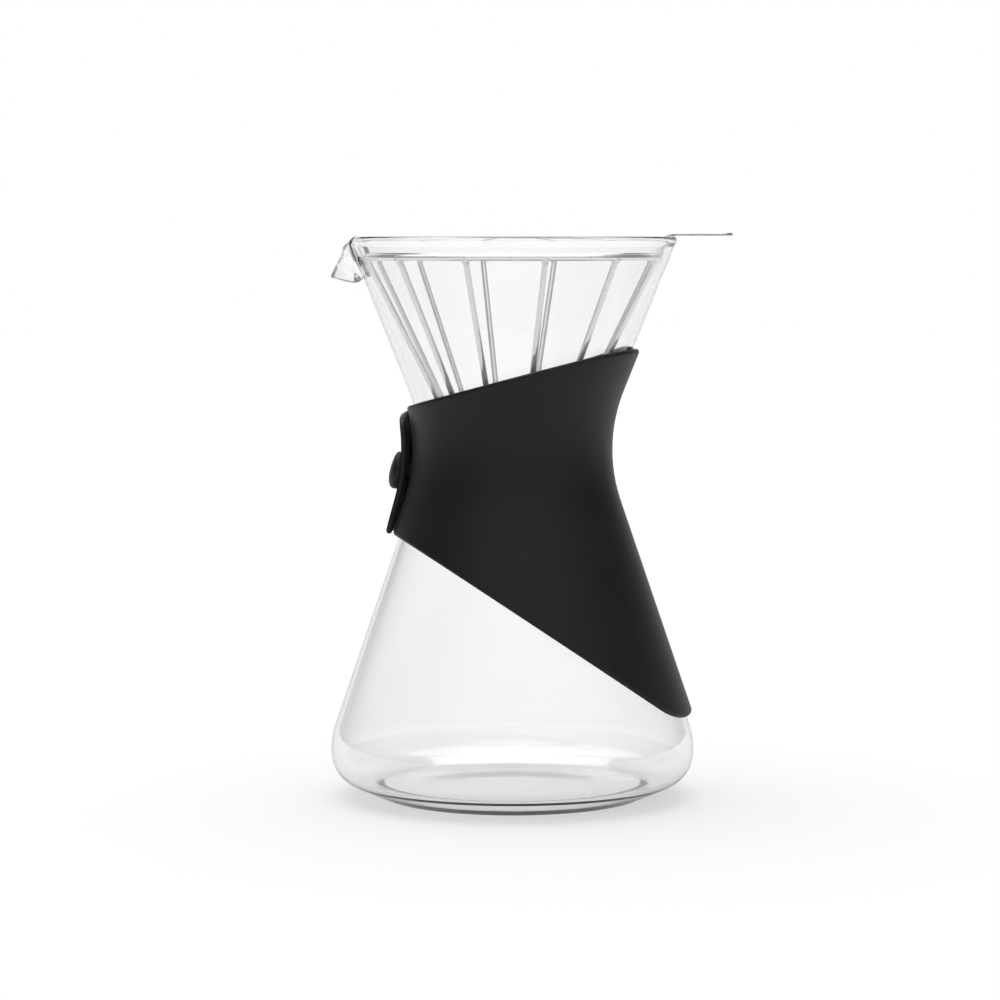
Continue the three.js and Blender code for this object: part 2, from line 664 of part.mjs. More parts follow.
const sleeve = new THREE.Group();
sleeve.add(piece('sleeve_wrap', sleeveWrap(), 'silicone'));
sleeve.add(piece('sleeve_flap', sleeveFlap(), 'silicone'));
sleeve.add(piece('closure_button', closureButton(), 'button'));

const coffeeMaker = new THREE.Group();
coffeeMaker.add(piece('glass_carafe', glassCarafe(), 'glass'), holder, sleeve);

export default coffeeMaker;
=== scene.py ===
"""Looks of a pour-over coffee maker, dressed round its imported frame.

The frame is in metres with +Z up. Shapes are worked out in millimetres and scaled by MM as their
meshes are made. Azimuths run from the front (-Y) towards the holder's handle (+X), and the
pouring lip points along -X.
"""

import math
from bisect import bisect_left
from functools import partial

import bmesh
import bpy
from mathutils import Matrix, Vector


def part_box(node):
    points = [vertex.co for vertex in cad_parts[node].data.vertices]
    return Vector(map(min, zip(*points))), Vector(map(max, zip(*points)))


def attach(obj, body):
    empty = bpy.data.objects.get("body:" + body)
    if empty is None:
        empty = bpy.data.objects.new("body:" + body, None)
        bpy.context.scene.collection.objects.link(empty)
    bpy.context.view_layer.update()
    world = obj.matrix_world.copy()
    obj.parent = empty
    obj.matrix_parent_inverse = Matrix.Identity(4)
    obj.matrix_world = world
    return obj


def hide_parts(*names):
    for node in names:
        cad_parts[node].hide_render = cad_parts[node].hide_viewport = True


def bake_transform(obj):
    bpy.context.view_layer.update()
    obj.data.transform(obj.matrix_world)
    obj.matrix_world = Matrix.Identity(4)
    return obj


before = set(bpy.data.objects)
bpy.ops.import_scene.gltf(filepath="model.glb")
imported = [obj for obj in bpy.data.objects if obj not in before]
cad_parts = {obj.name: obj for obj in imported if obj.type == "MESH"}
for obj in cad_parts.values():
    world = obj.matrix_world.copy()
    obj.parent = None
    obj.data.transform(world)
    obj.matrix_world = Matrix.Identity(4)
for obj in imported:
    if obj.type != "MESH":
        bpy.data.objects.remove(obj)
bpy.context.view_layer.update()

MM = 0.001

# Camera at the photograph's place
CAMERA_PLACE = (-0.004458, -1.2, 0.1987)
CAMERA_LOOK_DOWN = 0.077
CAMERA_LENS = 121.13

# Fineness of the meshes: rounds, steps and tolerances, then how many rows and columns of faces
ARC_STEP = math.radians(3)
ARC_ROOM = 0.49
LEAST_ROUND = 0.5
RUN_STEP = 4.0
SLOPE_STEP = 0.5
SLOPE_TURN = math.radians(0.4)
SHARE_STEP = 0.001
SAME_PLACE = 0.002
SLIVER = 0.0005
TINY = 1e-9
SHARP_EDGE = math.radians(60)
BUTTON_SHARP_EDGE = math.radians(50)
KICK_ROWS = 12
LIP_COLUMNS = 100
WALL_COLUMNS = 180
FOLD_STEPS = 24
CAP_STEPS = 18
MOUTH_STEPS = 60
TOP_RING_STEPS = 180
BOTTOM_RING_STEPS = 90
RING_SIDES = 24
RIB_ROWS = 140
RIB_SIDES = 20
STRIP_EDGE_STEPS = 5
STRIP_COLUMNS = 12
STRIP_END_ROWS = 16
SHEET_ROWS = 44
SHEET_EDGE_ROWS = 8
SHEET_END_COLUMNS = 6
TONGUE_COLUMNS = 14
TONGUE_CROWDING = 1.3
WRAP_COLUMNS = 150
FLAP_ROOT_COLUMNS = 12
FLAP_COLUMNS = 40
FLAP_END_COLUMNS = 18
FLAP_SAMPLES = 200
CUT_ROUNDS = 40
BUTTON_COLUMNS = 72
BUTTON_ROUND_ROWS = 6
DOME_ROWS = 24
HOLE_STEPS = 40
FLOOR_STEPS = 96

# Fits shared by all pieces
FIT_GAP = 0.3

# Glass carafe: straight walls that meet at rounded corners
CARAFE_HEIGHT = 200.0
RIM_RADIUS = 58.5
RIM_BEAD = 2.3
GLASS_WALL = 1.9
WAIST_CORNER_RADIUS = 29.3
WAIST_HEIGHT = 126.0
WAIST_ROUND = 59.0
BELLY_RADIUS = 65.0
BELLY_HEIGHT = 21.5
BELLY_ROUND = 46.0
HEEL_HEIGHT = 12.8
HEEL_ROUND = 13.0
HEEL_SLANT_RADIUS = 61.5
HEEL_SLANT_HEIGHT = 6.6
FOOT_RADIUS = 46.5
FOOT_ROUND = 4.0
BASE_THICKNESS = 3.0
FLOOR_ROUND = 8.0
KICK_RADIUS = 40.0
KICK_RISE = 0.15

# Pouring lip: the rim is pulled out and folded down into a beak
LIP_HALF_ANGLE = math.radians(18)
LIP_ROOT = 8.0
LIP_REACH = 6.6
LIP_DROP = 14.0
LIP_MOUTH_HALF_WIDTH = 8.6
LIP_MOUTH_DROP = 15.6
LIP_SHEET = 0.7
LIP_SIDE_EDGE = 0.16
LIP_FOLD = 2.0
LIP_SIDE_FOLD = 0.8
LIP_BEAD = 1.4
LIP_BEAD_SHARE = 0.3
# Reach of the painted shade round the mouth's bead, as a share of the bead
LIP_SHADE_REACH = 0.6
LIP_DIP = 1.9
LIP_MARGIN = math.radians(2)

# Where the lip changes, as shares of the way from its middle to its side
LIP_BEAD_END = (0.2, 0.34)
LIP_FOLD_CHANGE = (0.15, 0.5)
LIP_CURL_CHANGE = (0.42, 0.6)
LIP_DIP_START = 0.7
LIP_DRAWN_START = 0.65

# Stations along a section of the lip: how many, how many thin the wall and swell the edge,
# and how closely they stand on the fold
LIP_STATIONS = 30
LIP_THINNING = 5
RIM_SWELLING = 9
LIP_SWELLING = 6
LIP_CROWDING = 4
ROOT_ROW_GAP = 0.5

# Sheet-metal handle of the wire holder
HANDLE_SHEET = 1.0
HANDLE_WIDTH = 18.0
HANDLE_OVERHANG = 19.5
HANDLE_BEND = 3.0
HANDLE_CORNER = 5.0
HANDLE_EDGE = 0.35
HANDLE_TIP_EDGE = 0.02
HANDLE_LEAN = 0.4

# Wire holder
RIB_COUNT = 12
RIB_WIRE = 2.0
RIB_TURN = math.radians(12.1)
WELD_REACH = 2.6
WELD_SWELL = 0.55
WELD_FLARE = 2.5

# Silicone sleeve: a band between two slanting cuts, wrapped round the waist
SLEEVE_THICKNESS = 2.2
SLEEVE_TOP_RISE = 23.4
SLEEVE_TOP_SLOPE = 0.26
SLEEVE_TOP_TILT = 0.05
SLEEVE_TOP_CREST = 34.4
SLEEVE_BOTTOM_DROP = 60.3
SLEEVE_BOTTOM_SLOPE = 0.66
SLEEVE_BOTTOM_ARCH = 0.111
SLEEVE_BOTTOM_TIP = 96.0
SLEEVE_TIP_ROUND = 5.0
SLEEVE_CREST_ROUND = 2.0
TONGUE_ANGLE = math.radians(-103)
TONGUE_ROUND = 10.0

# Closing flap of the sleeve, lying over the tongue
HINGE_ANGLE = math.radians(-122)
FLAP_ROOT_ANGLE = math.radians(-146)
FLAP_THICKNESS = 2.2
FLAP_STANDOFF_TOP = 1.5
FLAP_STANDOFF_BOTTOM = 0.4
FLAP_BULGE = 0.7
FLAP_END = 6.8
FLAP_END_TOP = 7.9
FLAP_END_BOTTOM = 31.6
FLAP_CORNER = 4.0
FLAP_RAMP = (0, 0.25, 0.62, 1)
FLAP_LANDING = math.radians(1)
FLAP_NARROWED = 0.5
FLAP_THICKENED = 0.3

# Button that holds the flap on the tongue
BUTTON_DROP = 9.4
BUTTON_RADIUS = 6.7
BUTTON_HEAD = 3.6
BUTTON_EDGE = 0.9
BUTTON_LEAN = 0.12
BUTTON_BRIM = 0.25
BUTTON_SEAT_GAP = 0.02
NECK_RADIUS = 2.4
PEG_RADIUS = 2.6
PEG_DEPTH = 1.5
PEG_TIP_ROUND = 0.6
PEG_SHOULDER = 0.5
PEG_CLEARANCE = 0.5
PEG_SLOT = 0.7

# Heights of a noise between which shades and values are spread
NOISE_LOW = 0.3
NOISE_HIGH = 0.7

# Studio round the object: each panel's half width and soft edge, and the ceiling's start
BACKDROP_HALF = math.radians(8)
BACKDROP_SOFT = math.radians(34)
FRONT_TURN = math.radians(14)
FRONT_HALF = math.radians(38)
FRONT_SOFT = math.radians(38)
CAMERA_GAP_HALF = math.radians(3)
CAMERA_GAP_SOFT = math.radians(6)
CEILING_START = 0.62
CEILING_FULL = 0.85

# Studio brightness: what is mirrored, what shows through glass, the air, lamp and floor
DIM_SIDES = 0.06
FRONT_GLOW = 0.5
CAMERA_GAP_DIMMING = 0.7
CEILING_GLOW = 1.3
LEAST_THROUGH_GLASS = 0.75
LEAST_BEHIND_GLASS = 0.15
AMBIENT = 0.6
LAMP_STRENGTH = 1.4
LAMP_SPREAD = math.radians(70)
LAMP_TURN = (math.radians(-14), math.radians(-7), 0)
FLOOR_PAINT = 0.5
FLOOR_GLOW = 0.5
FLOOR_GLOW_MIRRORED = 0.25
FLOOR_RADIUS = 6000.0
FLOOR_DROP = 0.2


# Shapes shared by the pieces

def lerp(a, b, share):
    return a + (b - a) * share


def flat(x, y):
    return Vector((x, y))


def smoothstep(value, low, high):
    share = min(1.0, max(0.0, (value - low) / (high - low)))
    return share * share * (3 - 2 * share)


def turned(vector, angle):
    """A flat vector turned anticlockwise."""
    cos, sin = math.cos(angle), math.sin(angle)
    return flat(vector.x * cos - vector.y * sin, vector.x * sin + vector.y * cos)


def around(azimuth, radius, height):
    return Vector((math.sin(azimuth) * radius, -math.cos(azimuth) * radius, height))


def rounded_profile(corners):
    """Points along a polyline whose corners, each a place and a round, are replaced by arcs."""
    outline = []
    for i, (at, round_) in enumerate(corners):
        if not round_ or i in (0, len(corners) - 1):
            arc = [at]
        else:
            back = corners[i - 1][0] - at
            ahead = corners[i + 1][0] - at
            room = ARC_ROOM * min(back.length, ahead.length)
            back.normalize()
            ahead.normalize()
            half = math.acos(max(-1.0, min(1.0, back.dot(ahead)))) / 2
            radius = min(round_, room * math.tan(half))
            centre = at + (back + ahead).normalized() * (radius / math.sin(half))
            start = at + back * (radius / math.tan(half)) - centre
            side = math.copysign(1, back.x * ahead.y - back.y * ahead.x)
            sweep = side * (2 * half - math.pi)
            steps = max(2, math.ceil(abs(sweep) / ARC_STEP))
            arc = [turned(start, sweep * k / steps) + centre for k in range(steps + 1)]
        if outline:
            run = arc[0] - outline[-1]
            cuts = math.ceil(run.length / RUN_STEP)
            outline += [outline[-1] + run * (k / cuts) for k in range(1, cuts)]
        outline += arc
    return outline


def offset_corners(corners, distance):
    """Corners of the same profile moved sideways, with their rounds grown or shrunk to suit."""
    normals = []
    for (here, _), (ahead, _) in zip(corners, corners[1:]):
        run = (ahead - here).normalized()
        normals.append(flat(run.y, -run.x))
    moved = []
    for i, (at, round_) in enumerate(corners):
        before = normals[max(0, i - 1)]
        after = normals[min(i, len(normals) - 1)]
        mitre = (before + after).normalized()
        turn = before.x * after.y - before.y * after.x
        grown = round_ and max(LEAST_ROUND, round_ + math.copysign(distance, distance * turn))
        moved.append((at + mitre * (distance / mitre.dot(after)), grown))
    return moved


def radius_at(profile, height):
    """Radius of a rising profile at a height."""
    upper = bisect_left(profile, height, key=lambda place: place.y)
    upper = max(1, min(upper, len(profile) - 1))
    a, b = profile[upper - 1], profile[upper]
    return lerp(a.x, b.x, (height - a.y) / (b.y - a.y))


def through_points(points, share):
    """A place on a centripetal Catmull-Rom curve, with equal shares between its points."""
    spans = len(points) - 1
    i = min(spans - 1, int(share * spans))
    weight = share * spans - i
    p1, p2 = points[i], points[i + 1]
    p0 = points[i - 1] if i else p1 * 2 - p2
    p3 = points[i + 2] if i + 2 <= spans else p2 * 2 - p1
    d0, d1, d2 = ((b - a).length ** 0.5 for a, b in ((p0, p1), (p1, p2), (p2, p3)))
    leave = ((p1 - p0) / d0 - (p2 - p0) / (d0 + d1) + (p2 - p1) / d1) * d1
    meet = ((p2 - p1) / d1 - (p3 - p1) / (d1 + d2) + (p3 - p2) / d2) * d1
    square = (p2 - p1) * 3 - leave * 2 - meet
    cube = (p1 - p2) * 2 + leave + meet
    return p1 + leave * weight + square * weight ** 2 + cube * weight ** 3


def new_piece(name, mesh, material):
    piece = bpy.data.objects.new(name, mesh)
    bpy.context.scene.collection.objects.link(piece)
    mesh.materials.append(material)
    mesh.shade_smooth()
    return piece


def skin(name, loops, material, wrap=False, sharp=None):
    """A piece skinned through closed loops of equally many points; open ends are capped."""
    count = len(loops[0])
    faces = []
    for i in range(len(loops) if wrap else len(loops) - 1):
        here, ahead = i * count, (i + 1) % len(loops) * count
        for k in range(count):
            beside = (k + 1) % count
            faces.append((here + k, ahead + k, ahead + beside, here + beside))
    if not wrap:
        last = (len(loops) - 1) * count
        for k in range(count // 2 - 1):
            facing = count - 1 - k
            faces.append((k, k + 1, facing - 1, facing))
            faces.append((last + k, last + facing, last + facing - 1, last + k + 1))
    mesh = bpy.data.meshes.new(name)
    mesh.from_pydata([place * MM for loop in loops for place in loop], [], faces)
    shell = bmesh.new()
    shell.from_mesh(mesh)
    bmesh.ops.remove_doubles(shell, verts=shell.verts, dist=SAME_PLACE * MM)
    bmesh.ops.dissolve_degenerate(shell, edges=shell.edges, dist=SLIVER * MM)
    bmesh.ops.recalc_face_normals(shell, faces=shell.faces)
    shell.to_mesh(mesh)
    shell.free()
    piece = new_piece(name, mesh, material)
    if sharp:
        mesh.set_sharp_from_angle(angle=sharp)
    return piece


# Camera

def place_camera():
    camera = bpy.data.cameras.new("photo_camera")
    camera.lens = CAMERA_LENS
    holder = bpy.data.objects.new("photo_camera", camera)
    holder.location = CAMERA_PLACE
    holder.rotation_euler = (math.pi / 2 - CAMERA_LOOK_DOWN, 0, 0)
    bpy.context.scene.collection.objects.link(holder)
    bpy.context.scene.camera = holder


# Node trees

def set_socket(tree, socket, value):
    """Links a socket to another one, or gives it a plain value."""
    if isinstance(value, bpy.types.NodeSocket):
        tree.links.new(value, socket)
    else:
        socket.default_value = value


def add_node(tree, kind, **inputs):
    """A new node, with its inputs set by name."""
    made = tree.nodes.new(kind)
    for name, value in inputs.items():
        set_socket(tree, made.inputs[name.replace("_", " ")], value)
    return made


def add_math(tree, operation, *values):
    made = tree.nodes.new("ShaderNodeMath")
    made.operation = operation
    for socket, value in zip(made.inputs, values):
        set_socket(tree, socket, value)
    return made.outputs["Value"]


# Materials

def new_material(name, **values):
    """A material, its node tree and its shader, with plain values on the shader's own sockets."""
    material = bpy.data.materials.new(name)
    material.use_nodes = True
    tree = material.node_tree
    shader = tree.nodes["Principled BSDF"]
    for socket, value in values.items():
        set_socket(tree, shader.inputs[socket.replace("_", " ")], value)
    return material, tree, shader


def noise(tree, scale, detail, stretch=(1, 1, 1)):
    """Height of a noise on the piece's own coordinates."""
    place = add_node(tree, "ShaderNodeTexCoord").outputs["Object"]
    stretched = add_node(tree, "ShaderNodeMapping", Vector=place, Scale=stretch).outputs["Vector"]
    texture = add_node(tree, "ShaderNodeTexNoise", Vector=stretched, Scale=scale, Detail=detail)
    return texture.outputs["Fac"]


def spread(tree, height, low, high):
    """A noise height as a value between two ends."""
    span = add_node(tree, "ShaderNodeMapRange", Value=height, From_Min=NOISE_LOW,
                    From_Max=NOISE_HIGH, To_Min=low, To_Max=high)
    return span.outputs["Result"]


def shades(tree, height, dark, light):
    """A noise height as a colour between two shades."""
    ramp = add_node(tree, "ShaderNodeValToRGB", Fac=height)
    ends = zip(ramp.color_ramp.elements, (NOISE_LOW, NOISE_HIGH), (dark, light))
    for element, position, colour in ends:
        element.position = position
        element.color = (*colour, 1)
    return ramp.outputs["Color"]


def bump(tree, shader, height, depth):
    relief = add_node(tree, "ShaderNodeBump", Strength=1.0, Distance=depth, Height=height)
    tree.links.new(relief.outputs["Normal"], shader.inputs["Normal"])


def clear_glass(name, tint):
    """Blown glass: a faint waviness, and a trace of grey where the light runs far inside it."""
    material, tree, shader = new_material(
        name, Base_Color=(*tint, 1), Roughness=0.0, IOR=1.47, Transmission_Weight=1.0)
    bump(tree, shader, noise(tree, scale=40, detail=1.0, stretch=(1, 1, 0.35)), depth=0.004 * MM)
    grey = add_node(tree, "ShaderNodeVolumeAbsorption", Color=(0.905, 0.9, 0.915, 1), Density=90)
    tree.links.new(grey.outputs["Volume"], tree.nodes["Material Output"].inputs["Volume"])
    return material


def bright_steel(name, roughness, stretch, dark, light, metallic=1.0):
    """Drawn or pressed steel with fine lines along the draw, paler where it is less metallic."""
    material, tree, shader = new_material(name, Metallic=metallic, IOR=2.5)
    lines = noise(tree, scale=900, detail=4.0, stretch=stretch)
    tree.links.new(shades(tree, lines, dark, light), shader.inputs["Base Color"])
    rougher = roughness + 0.08
    tree.links.new(spread(tree, lines, roughness, rougher), shader.inputs["Roughness"])
    bump(tree, shader, lines, depth=0.01 * MM)
    return material


def silicone(name, dark, light, roughness):
    """Matt moulded silicone with a fine grain, a slightly uneven bloom and a faint sheen."""
    material, tree, shader = new_material(name, IOR=1.41, Sheen_Weight=0.08, Sheen_Roughness=0.4)
    bloom = noise(tree, scale=35, detail=5.0)
    tree.links.new(shades(tree, bloom, dark, light), shader.inputs["Base Color"])
    rougher = roughness + 0.06
    tree.links.new(spread(tree, bloom, roughness, rougher), shader.inputs["Roughness"])
    bump(tree, shader, noise(tree, scale=2600, detail=2.0), depth=0.02 * MM)
    return material


# Glass carafe

rim_centre = flat(RIM_RADIUS - RIM_BEAD / 2, CARAFE_HEIGHT - RIM_BEAD / 2)
waist_corner = flat(WAIST_CORNER_RADIUS, WAIST_HEIGHT)
wall_direction = (rim_centre - waist_corner).normalized()
wall_normal = flat(wall_direction.y, -wall_direction.x)
lip_root = rim_centre - wall_direction * LIP_ROOT
body_corners = [
    (flat(FOOT_RADIUS, 0), FOOT_ROUND),
    (flat(HEEL_SLANT_RADIUS, HEEL_SLANT_HEIGHT), HEEL_ROUND),
    (flat(BELLY_RADIUS, HEEL_HEIGHT), HEEL_ROUND),
    (flat(BELLY_RADIUS, BELLY_HEIGHT), BELLY_ROUND),
    (waist_corner, WAIST_ROUND),
    (rim_centre + wall_normal * (GLASS_WALL / 2), 0),
]
body_profile = rounded_profile(body_corners)


def outer_profile():
    """From the middle of the base, pushed up in a slight kick, out and up to the rim."""
    kick = []
    for k in range(KICK_ROWS):
        fall = smoothstep(k, KICK_ROWS / 2, KICK_ROWS)
        kick.append(flat(KICK_RADIUS * k / KICK_ROWS, KICK_RISE * (1 - fall)))
    return kick + rounded_profile([(flat(KICK_RADIUS, 0), 0)] + body_corners)


def inner_profile():
    """From the middle of the floor inside, out and up to the rim."""
    corners = offset_corners(body_corners, -GLASS_WALL)
    edge = radius_at([at for at, _ in corners], BASE_THICKNESS)
    corners[0] = (flat(edge, BASE_THICKNESS), FLOOR_ROUND)
    return rounded_profile([(flat(0, BASE_THICKNESS), 0)] + corners)


def lip_edge_points():
    """Middle of the lip's free edge, from one side to the other: off the rim, down beside the
    wall, then forward along the mouth of the beak to its tip."""
    mouth = CARAFE_HEIGHT - LIP_MOUTH_DROP
    clearance = 2 * LIP_SIDE_FOLD - GLASS_WALL / 2
    tip = RIM_RADIUS + LIP_REACH - RIM_BEAD / 2
    rim_aside = rim_centre.x * math.sin(LIP_HALF_ANGLE)

    def height(share):
        return lerp(mouth, rim_centre.y, share)

    def wall_at(share):
        return radius_at(body_profile, height(share)) + clearance

    def reach(share):
        return lerp(wall_at(0), tip, share)

    def width(share):
        return lerp(LIP_MOUTH_HALF_WIDTH, rim_aside, share)

    # Radius, distance aside and height of each point, from beside the tip back to the rim
    half = [
        (reach(0.7), 0.55 * LIP_MOUTH_HALF_WIDTH, height(0.05)),
        (reach(0.22), 0.92 * LIP_MOUTH_HALF_WIDTH, height(0)),
        (wall_at(0.1), width(0.02), height(0.1)),
        (wall_at(0.4), width(0.14), height(0.4)),
        (wall_at(0.74), width(0.34), height(0.74)),
        (rim_centre.x + 1.7 * LIP_SIDE_FOLD, width(0.58), height(0.91)),
        (rim_centre.x + 0.6 * LIP_SIDE_FOLD, width(0.76), height(1.01)),
        (rim_centre.x, rim_aside, rim_centre.y),
    ]
    left = [Vector((-math.sqrt(r * r - aside * aside), aside, level)) for r, aside, level in half]
    right = [Vector((p.x, -p.y, p.z)) for p in reversed(left)]
    return right + [Vector((-tip, 0, CARAFE_HEIGHT - LIP_DROP))] + left


lip_edge = lip_edge_points()


def lip_share(azimuth):
    return min(1.0, abs(azimuth) / LIP_HALF_ANGLE)


def lip_line(azimuth):
    """Middle line of the lip in one section, run like a string: straight up the wall, over a
    pulley whose top is the crest, then straight to the free edge."""
    share = lip_share(azimuth)
    radial = Vector((-math.cos(azimuth), math.sin(azimuth), 0))
    sideways = Vector((math.sin(azimuth), math.cos(azimuth), 0))
    end, drift = rim_centre, 0.0
    if share < 1:
        edge = through_points(lip_edge, (1 + math.copysign(share, azimuth)) / 2)
        end, drift = flat(edge.dot(radial), edge.z), edge.dot(sideways)

    crest = rim_centre.y - LIP_DIP * smoothstep(1 - share, 1 - LIP_DIP_START, 1)
    fold = lerp(LIP_FOLD, LIP_SIDE_FOLD, smoothstep(share, *LIP_FOLD_CHANGE))
    rise = (crest - fold * (1 + wall_normal.y) - lip_root.y) / wall_direction.y
    centre = lip_root + wall_direction * rise + wall_normal * fold
    to_end = end - centre
    first = math.atan2(-wall_normal.y, -wall_normal.x)
    leave = math.atan2(to_end.y, to_end.x) + math.acos(min(1.0, fold / to_end.length))
    last = min(first, leave)
    turns = [lerp(first, last, k / FOLD_STEPS) for k in range(FOLD_STEPS + 1)]
    pulley = [centre + turned(flat(fold, 0), turn) for turn in turns]
    path = [lip_root] + pulley + [end]
    distance = [0.0]
    for i in range(1, len(path)):
        on_pulley = 1 < i < len(path) - 1
        weight = LIP_CROWDING if on_pulley else 1
        distance.append(distance[-1] + weight * (path[i] - path[i - 1]).length)

    line = []
    for k in range(LIP_STATIONS + 1):
        along = distance[-1] * k / LIP_STATIONS
        i = max(1, min(bisect_left(distance, along - TINY), len(path) - 1))
        part = (along - distance[i - 1]) / max(TINY, distance[i] - distance[i - 1])
        place = path[i - 1].lerp(path[i], part)
        aside = drift * (k / LIP_STATIONS) ** 2
        line.append(radial * place.x + sideways * aside + Vector((0, 0, place.y)))
    return line


def glass_section(azimuth, outside, inside):
    """One closed section of the glass at an azimuth measured from the lip."""
    radial = Vector((-math.cos(azimuth), math.sin(azimuth), 0))
    sideways = Vector((math.sin(azimuth), math.cos(azimuth), 0))
    share = lip_share(azimuth)
    curl = smoothstep(share, *LIP_CURL_CHANGE)
    drawn = smoothstep(1 - share, 0, 1 - LIP_DRAWN_START)
    sheet = lerp(GLASS_WALL, LIP_SHEET, drawn)
    lip_bead = lerp(LIP_BEAD, LIP_SIDE_EDGE, smoothstep(share, *LIP_BEAD_END))
    edge = lerp(RIM_BEAD, lip_bead, drawn)
    swelling = LIP_STATIONS - lerp(RIM_SWELLING, LIP_SWELLING, drawn)
    line = lip_line(azimuth)
    beside = lip_line(azimuth + SLOPE_TURN)
    front, back = [], []
    for k, middle in enumerate(line):
        tangent = (line[min(k + 1, LIP_STATIONS)] - line[max(k - 1, 0)]).normalized()
        within = tangent.cross(sideways).normalized()
        normal = tangent.cross(beside[k] - middle).normalized().lerp(within, curl).normalized()
        thickness = lerp(GLASS_WALL, sheet, smoothstep(k, 0, LIP_THINNING))
        half = lerp(thickness, edge, smoothstep(k, swelling, LIP_STATIONS - 1)) / 2
        front.append(middle + normal * half)
        back.append(middle - normal * half)
    cap = []
    for step in range(1, CAP_STEPS):
        angle = math.pi * step / CAP_STEPS
        cap.append(middle + normal * (half * math.cos(angle)) + tangent * (half * math.sin(angle)))

    def placed(profile, side):
        root = lip_root.y + side * GLASS_WALL * wall_normal.y / 2
        return [radial * p.x + Vector((0, 0, p.y)) for p in profile if p.y < root - ROOT_ROW_GAP]

    return placed(outside, 1) + front + cap + back[::-1] + placed(inside, -1)[::-1]


def blown_carafe(material):
    """The glass, skinned through upright sections that stand closer together in the lip."""
    outside, inside = outer_profile(), inner_profile()
    lip_span = LIP_HALF_ANGLE + LIP_MARGIN
    azimuths = [lerp(-lip_span, lip_span, i / LIP_COLUMNS) for i in range(LIP_COLUMNS)]
    wall_span = 2 * math.pi - 2 * lip_span
    azimuths += [lip_span + wall_span * i / WALL_COLUMNS for i in range(WALL_COLUMNS)]
    wrapped = [a - 2 * math.pi if a > math.pi else a for a in azimuths]
    loops = [glass_section(a, outside, inside) for a in wrapped]
    return skin("blown_carafe", loops, material, wrap=True)


def shade_mouth_bead(carafe, material):
    """Paints shade on the bead along the lip's mouth: a darker glass that stands in for the dark line
    its edge shows.
    """
    sides = (1 - LIP_BEAD_SHARE) / 2, (1 + LIP_BEAD_SHARE) / 2
    shares = [lerp(*sides, k / MOUTH_STEPS) for k in range(MOUTH_STEPS + 1)]
    mouth = [through_points(lip_edge, share) * MM for share in shares]
    front = max(place.x for place in mouth) + LIP_BEAD * MM
    lowest = (CARAFE_HEIGHT - LIP_MOUTH_DROP - 2 * LIP_BEAD) * MM
    carafe.data.materials.append(material)
    for face in carafe.data.polygons:
        if face.center.x < front and face.center.z > lowest:
            near = min((face.center - place).length for place in mouth)
            face.material_index = int(near < LIP_SHADE_REACH * LIP_BEAD * MM)


# Wire holder

def ring_sizes(node):
    """Radius, height and wire thickness of a ring of the frame, in metres."""
    low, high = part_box(node)
    wire = high.z - low.z
    return high.x - wire / 2, (high.z + low.z) / 2, wire


